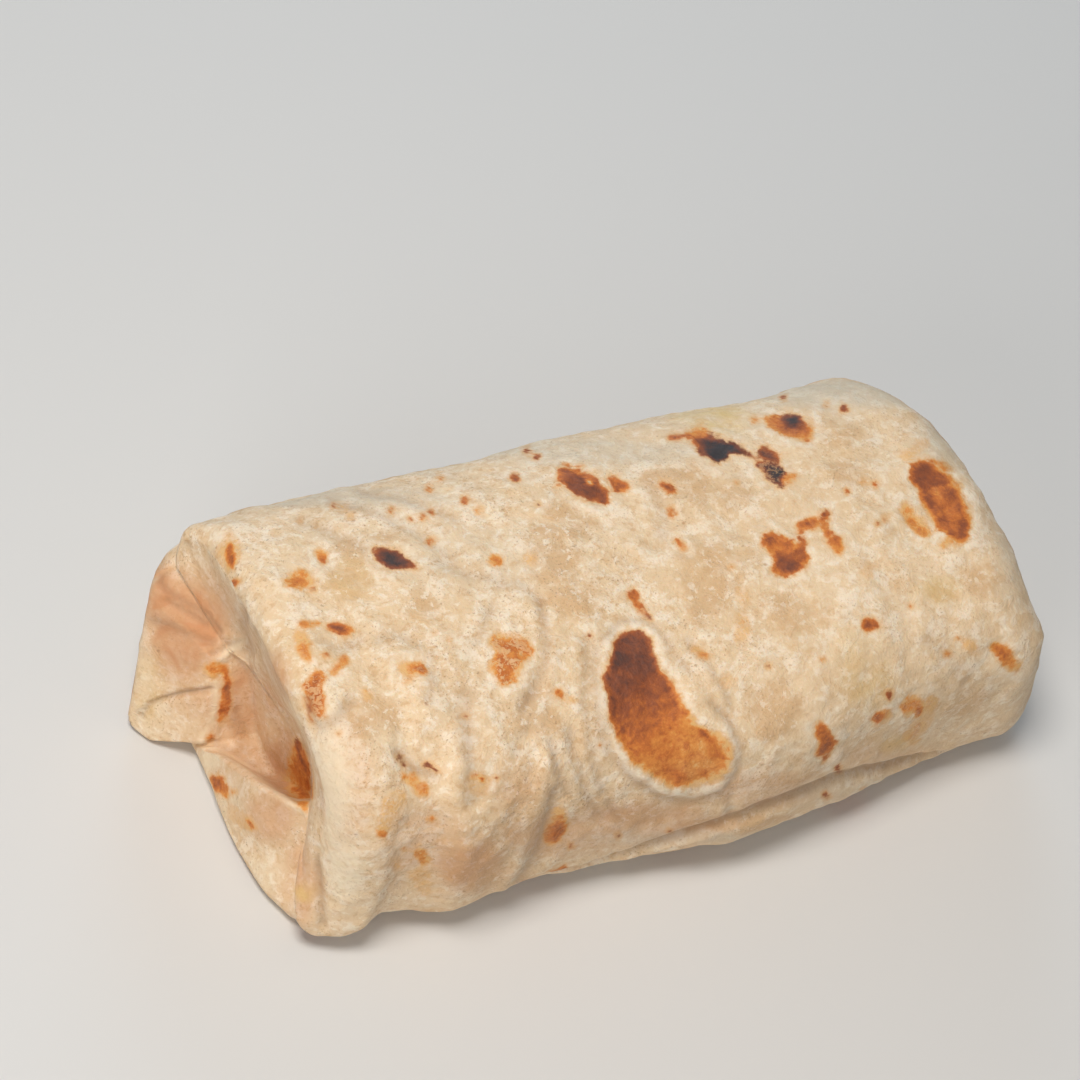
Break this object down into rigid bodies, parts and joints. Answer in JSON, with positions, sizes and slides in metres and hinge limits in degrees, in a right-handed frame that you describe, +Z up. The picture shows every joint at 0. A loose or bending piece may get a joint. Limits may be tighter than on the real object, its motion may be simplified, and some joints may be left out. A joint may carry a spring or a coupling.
{
  "type": "burrito",
  "caption": "Rolled flour tortilla burrito with griddle marks, both ends folded shut over the filling, lying on its flattened underside as a serving of hot food",
  "frame": {"origin": "middle of the resting face, on the surface that the burrito lies on", "axes": "+X along the roll, +Y across it, +Z up"},
  "size_m": [0.1904, 0.09, 0.0606],
  "materials": {
    "tortilla": "matte floury flatbread, cream with toasted brown spots"
  },
  "bodies": {
    "root": {"burrito": "tortilla"}
  },
  "joints": []
}
